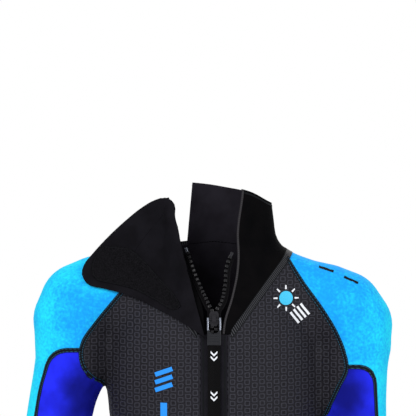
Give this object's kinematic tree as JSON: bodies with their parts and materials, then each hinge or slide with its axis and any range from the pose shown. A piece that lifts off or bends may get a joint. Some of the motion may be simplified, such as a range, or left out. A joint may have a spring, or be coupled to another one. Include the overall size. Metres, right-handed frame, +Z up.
{
  "type": "full wetsuit",
  "caption": "Full-length neoprene wetsuit with raglan sleeves, a front zip with a pull strap, and a fold-over collar flap, shaped as if worn.",
  "frame": {"origin": "middle of the neck opening at shoulder height, where the wearer or a hanger carries the suit", "axes": "the suit faces -Y, +Z is up towards the collar, +X is the wearer's left"},
  "size_m": [0.5827, 0.2457, 1.4608],
  "materials": {
    "embossed_neoprene": "matt embossed neoprene",
    "black_neoprene": "matt jersey-faced neoprene",
    "smooth_neoprene": "plush-faced neoprene",
    "azure_neoprene": "printed jersey-faced neoprene",
    "royal_neoprene": "jersey-faced neoprene",
    "knee_rubber": "printed rubber over neoprene",
    "hook_tape": "hook tape",
    "grey_binding": "stitched binding",
    "zip_plastic": "moulded teeth",
    "zip_tape": "woven tape",
    "zip_metal": "dark plated die casting",
    "webbing": "woven webbing"
  },
  "bodies": {
    "suit": {"collar_stand": "smooth_neoprene", "collar_turned": "smooth_neoprene", "back_upper": "embossed_neoprene", "back_lower": "black_neoprene", "lower_front": "black_neoprene", "side_left": "royal_neoprene", "side_right": "royal_neoprene", "chest_left": "embossed_neoprene", "chest_right": "embossed_neoprene", "zip_facing_left": "black_neoprene", "zip_facing_right": "black_neoprene", "sleeve_left": "azure_neoprene", "underarm_left": "royal_neoprene", "forearm_left": "black_neoprene", "wrist_cuff_left": "black_neoprene", "thigh_front_left": "black_neoprene", "thigh_back_left": "black_neoprene", "knee_pad_left": "knee_rubber", "shin_left": "black_neoprene", "calf_left": "royal_neoprene", "ankle_cuff_left": "black_neoprene", "sleeve_right": "azure_neoprene", "underarm_right": "royal_neoprene", "forearm_right": "black_neoprene", "wrist_cuff_right": "black_neoprene", "thigh_front_right": "black_neoprene", "thigh_back_right": "black_neoprene", "knee_pad_right": "knee_rubber", "shin_right": "black_neoprene", "calf_right": "royal_neoprene", "ankle_cuff_right": "black_neoprene", "collar_binding": "grey_binding", "zip_teeth_left": "zip_plastic", "zip_teeth_right": "zip_plastic", "zip_tape_left": "zip_tape", "zip_tape_right": "zip_tape", "zip_top_stop_left": "zip_metal", "zip_top_stop_right": "zip_metal", "zip_bottom_stop": "zip_metal", "zip_guard": "black_neoprene"},
    "flap": {"collar_flap": "smooth_neoprene", "flap_hook_patch": "hook_tape"},
    "slider": {"zip_slider": "zip_metal"},
    "puller": {"zip_puller": "zip_metal"},
    "strap": {"pull_strap": "webbing", "strap_end_tab": "webbing"}
  },
  "joints": [
    {"name": "zip_slide", "type": "slide", "parent": "suit", "child": "slider", "axis": [0, 0, 1], "range_m": [-0.355, 0]},
    {"name": "puller_hinge", "type": "hinge", "parent": "slider", "child": "puller", "pos_m": [0, -0.1082, -0.0905], "axis": [-1, 0, 0], "range_deg": [0, 150]},
    {"name": "strap_hinge", "type": "hinge", "parent": "puller", "child": "strap", "pos_m": [0, -0.1082, -0.1263], "axis": [-1, 0, 0], "range_deg": [0, 30]},
    {"name": "flap_hinge", "type": "hinge", "parent": "suit", "child": "flap", "pos_m": [-0.0125, -0.1165, -0.114], "axis": [-0.2532, 0.2532, 0.9337], "range_deg": [0, 85]}
  ]
}
